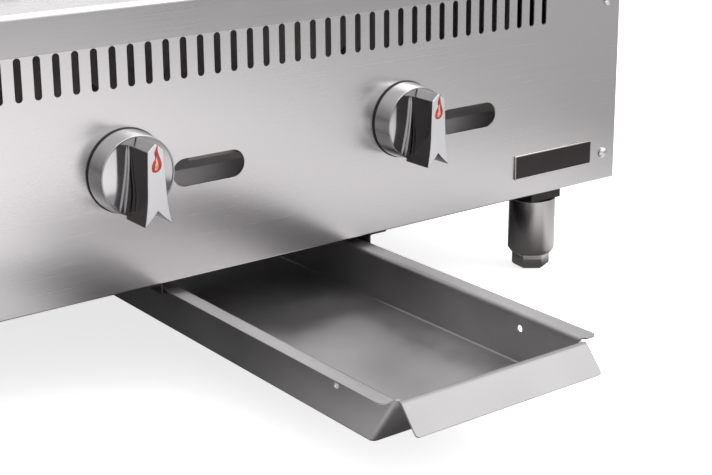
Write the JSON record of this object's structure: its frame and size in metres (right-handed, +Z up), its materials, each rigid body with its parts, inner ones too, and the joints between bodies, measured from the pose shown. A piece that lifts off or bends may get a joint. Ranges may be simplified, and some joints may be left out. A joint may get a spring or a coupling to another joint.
{
  "type": "charbroiler",
  "caption": "Countertop gas charbroiler: sheet-steel casing on adjustable legs, cast-iron cooking grates over tube burners, turning gas knobs and a pull-out crumb tray.",
  "frame": {"origin": "on the floor, midway across the width and midway along the whole length with the crumb tray drawn out as stored", "axes": "+X to the operator's right, +Y from the operator to the back, +Z up"},
  "size_m": [0.6096, 0.926, 0.386],
  "materials": {
    "brushed_stainless": "satin",
    "polished_chrome": "polished",
    "grey_steel_sheet": "dull mill finish",
    "leg_steel": "bright turned",
    "dark_steel": "dull dark",
    "cast_iron": "seasoned",
    "burner_steel": "heat-toned",
    "brass": "machined",
    "black_gasket": "matt",
    "nameplate_dark": "satin"
  },
  "bodies": {
    "casing": {"back_splash": "brushed_stainless", "base_cross_front": "grey_steel_sheet", "base_cross_rear": "grey_steel_sheet", "base_sheet_left": "grey_steel_sheet", "base_sheet_right": "grey_steel_sheet", "burner_bracket": "dark_steel", "burner_left": "burner_steel", "burner_right": "burner_steel", "drip_pan_left": "grey_steel_sheet", "drip_pan_right": "grey_steel_sheet", "front_ledge": "brushed_stainless", "front_panel": "brushed_stainless", "gas_inlet_pipe": "burner_steel", "gas_manifold": "dark_steel", "gas_valve_left": "brass", "gas_valve_right": "brass", "grate_rest_front": "dark_steel", "grate_rest_rear": "dark_steel", "heat_baffle": "grey_steel_sheet", "knob_gasket_left": "black_gasket", "knob_gasket_right": "black_gasket", "leg_front_left": "leg_steel", "leg_front_right": "leg_steel", "leg_rear_left": "leg_steel", "leg_rear_right": "leg_steel", "nameplate": "nameplate_dark", "panel_screw_lower_left": "leg_steel", "panel_screw_lower_right": "leg_steel", "panel_screw_upper_left": "leg_steel", "panel_screw_upper_right": "leg_steel", "pilot_left": "brass", "pilot_right": "brass", "radiant_front_left": "cast_iron", "radiant_front_right": "cast_iron", "radiant_rear_left": "cast_iron", "radiant_rear_right": "cast_iron", "rear_panel": "brushed_stainless", "side_liner_left": "grey_steel_sheet", "side_liner_right": "grey_steel_sheet", "side_panel_left": "brushed_stainless", "side_panel_right": "brushed_stainless", "side_trim_left": "brushed_stainless", "side_trim_right": "brushed_stainless", "tray_rail_left": "dark_steel", "tray_rail_right": "dark_steel"},
    "knob_left": {"knob_left": "polished_chrome", "valve_stem_left": "brass"},
    "knob_right": {"knob_right": "polished_chrome", "valve_stem_right": "brass"},
    "crumb_tray": {"crumb_tray": "grey_steel_sheet"},
    "air_shutter_left": {"air_shutter_left": "burner_steel"},
    "air_shutter_right": {"air_shutter_right": "burner_steel"},
    "grate_1": {"grate_1": "cast_iron"},
    "grate_2": {"grate_2": "cast_iron"},
    "grate_3": {"grate_3": "cast_iron"},
    "grate_4": {"grate_4": "cast_iron"},
    "foot_front_left": {"foot_front_left": "leg_steel"},
    "foot_front_right": {"foot_front_right": "leg_steel"},
    "foot_rear_left": {"foot_rear_left": "leg_steel"},
    "foot_rear_right": {"foot_rear_right": "leg_steel"}
  },
  "joints": [
    {"name": "knob_turn_left", "type": "hinge", "parent": "casing", "child": "knob_left", "pos_m": [-0.1032, -0.238, 0.1463], "axis": [0, -1, 0], "range_deg": [0, 180]},
    {"name": "knob_turn_right", "type": "hinge", "parent": "casing", "child": "knob_right", "pos_m": [0.1032, -0.238, 0.1463], "axis": [0, -1, 0], "range_deg": [0, 180]},
    {"name": "crumb_tray_slide", "type": "slide", "parent": "casing", "child": "crumb_tray", "axis": [0, -1, 0], "range_m": [-0.205, 0.28]},
    {"name": "grate_lift_1", "type": "slide", "parent": "casing", "child": "grate_1", "axis": [0, 0, 1], "range_m": [0, 0.12]},
    {"name": "grate_lift_2", "type": "slide", "parent": "casing", "child": "grate_2", "axis": [0, 0, 1], "range_m": [0, 0.12]},
    {"name": "grate_lift_3", "type": "slide", "parent": "casing", "child": "grate_3", "axis": [0, 0, 1], "range_m": [0, 0.12]},
    {"name": "grate_lift_4", "type": "slide", "parent": "casing", "child": "grate_4", "axis": [0, 0, 1], "range_m": [0, 0.12]},
    {"name": "air_shutter_turn_left", "type": "hinge", "parent": "casing", "child": "air_shutter_left", "pos_m": [-0.1032, -0.1515, 0.1463], "axis": [0, -1, 0], "range_deg": [0, 60]},
    {"name": "air_shutter_turn_right", "type": "hinge", "parent": "casing", "child": "air_shutter_right", "pos_m": [0.1032, -0.1515, 0.1463], "axis": [0, -1, 0], "range_deg": [0, 60]},
    {"name": "foot_screw_front_left", "type": "slide", "parent": "casing", "child": "foot_front_left", "axis": [0, 0, -1], "range_m": [0, 0.018]},
    {"name": "foot_screw_front_right", "type": "slide", "parent": "casing", "child": "foot_front_right", "axis": [0, 0, -1], "range_m": [0, 0.018]},
    {"name": "foot_screw_rear_left", "type": "slide", "parent": "casing", "child": "foot_rear_left", "axis": [0, 0, -1], "range_m": [0, 0.018]},
    {"name": "foot_screw_rear_right", "type": "slide", "parent": "casing", "child": "foot_rear_right", "axis": [0, 0, -1], "range_m": [0, 0.018]}
  ]
}
